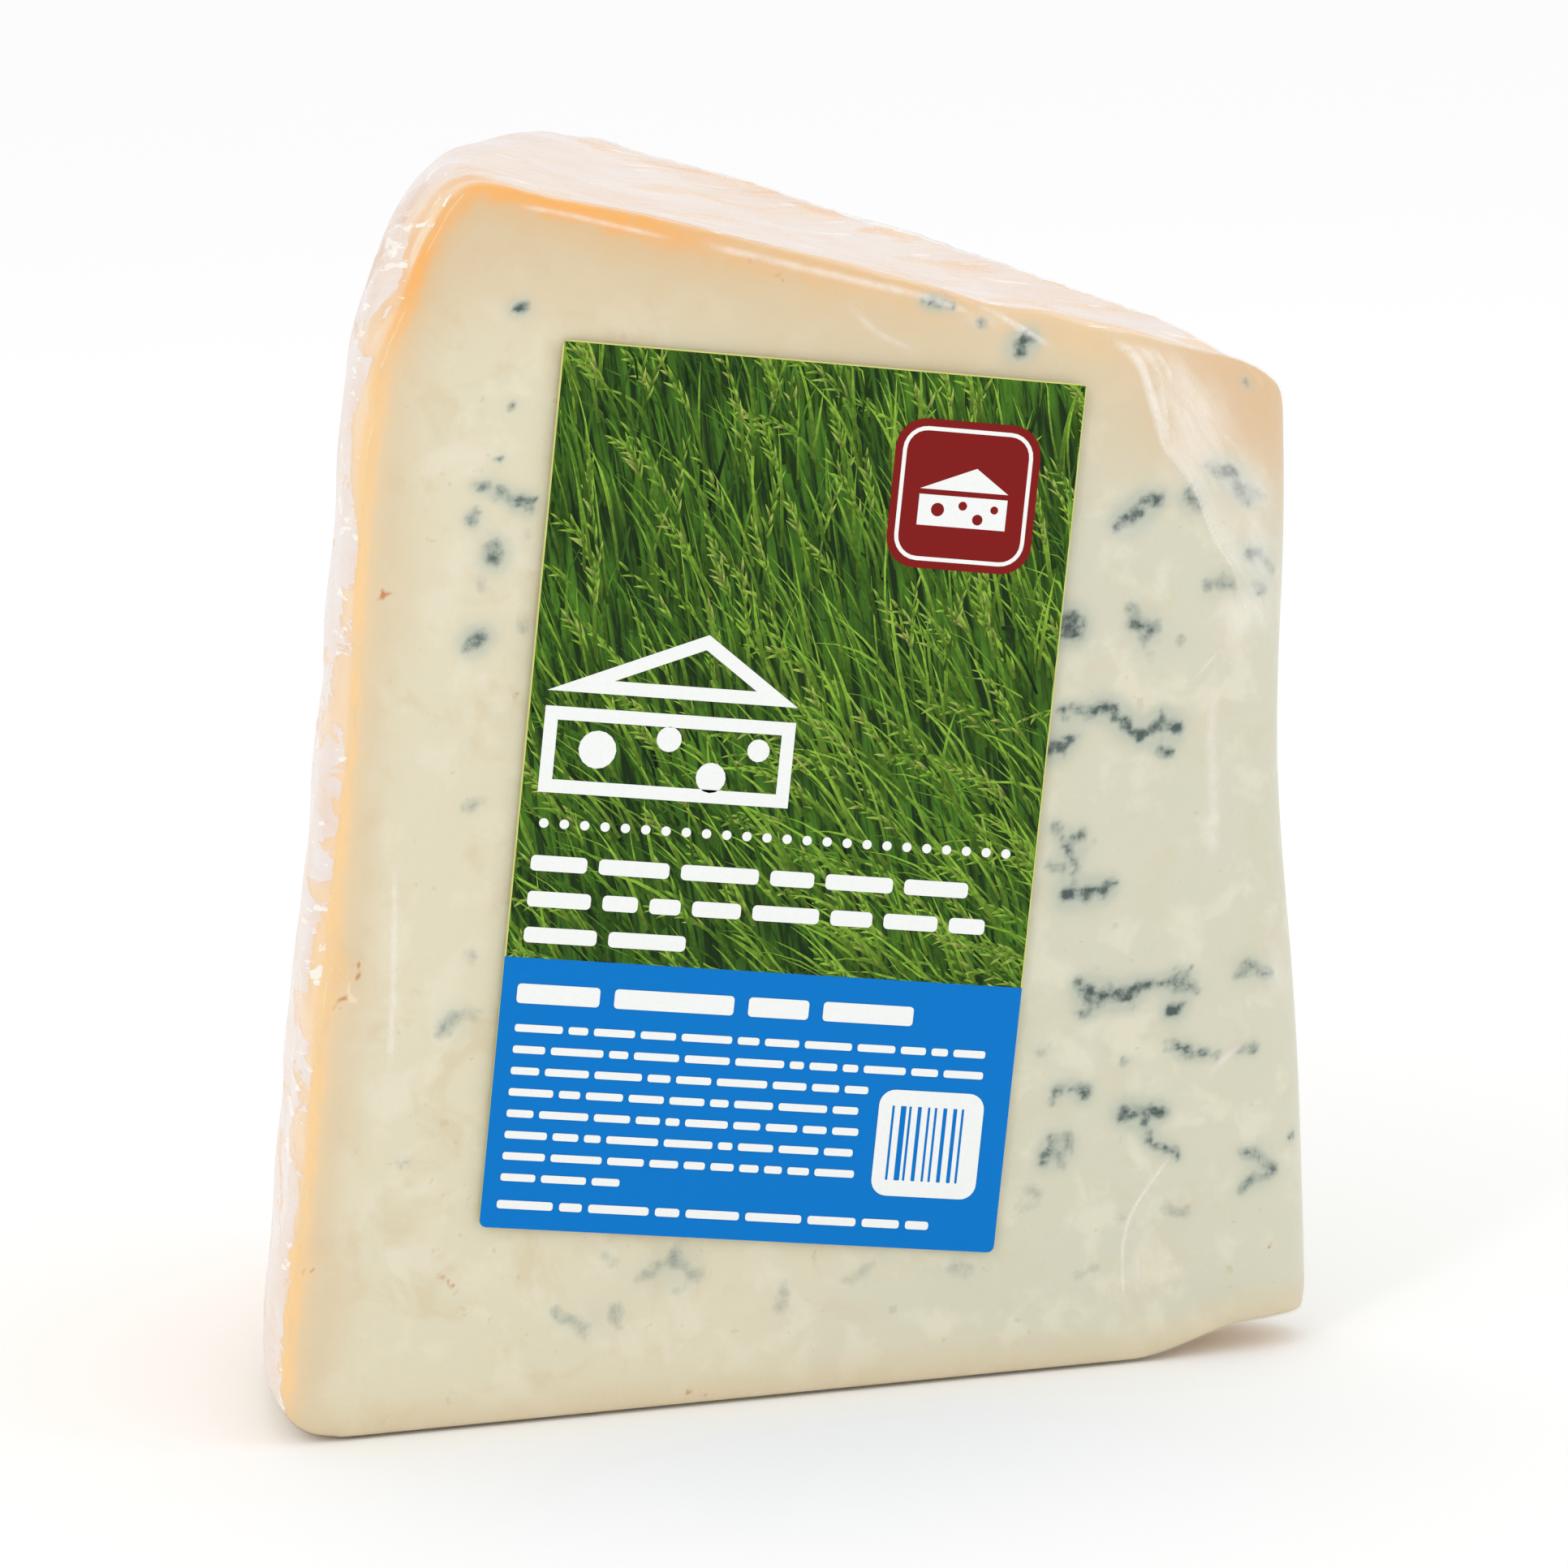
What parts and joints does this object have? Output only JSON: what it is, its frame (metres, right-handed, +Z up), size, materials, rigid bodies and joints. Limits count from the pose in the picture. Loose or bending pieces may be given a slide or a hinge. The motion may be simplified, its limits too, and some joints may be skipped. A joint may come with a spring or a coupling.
{
  "type": "blue cheese wedge",
  "caption": "Wedge cut from a small wheel of blue-veined cheese, in tight clear film with a paper label on one cut. It stands on the wheel's flat foot.",
  "frame": {"origin": "middle of the bounding box's base, on the surface that the wedge stands on", "axes": "+Z up; the labelled cut faces -Y, the narrow tip points to +X and the rind wall to -X"},
  "size_m": [0.093, 0.067, 0.1079],
  "materials": {
    "wrapped_cheese": "ivory paste with blue-green veins and a peach rind, under tight clear film",
    "label_paper": "coated paper, printed with a green field over a blue one"
  },
  "bodies": {
    "root": {"cheese_wedge": "wrapped_cheese", "label": "label_paper"}
  },
  "joints": []
}
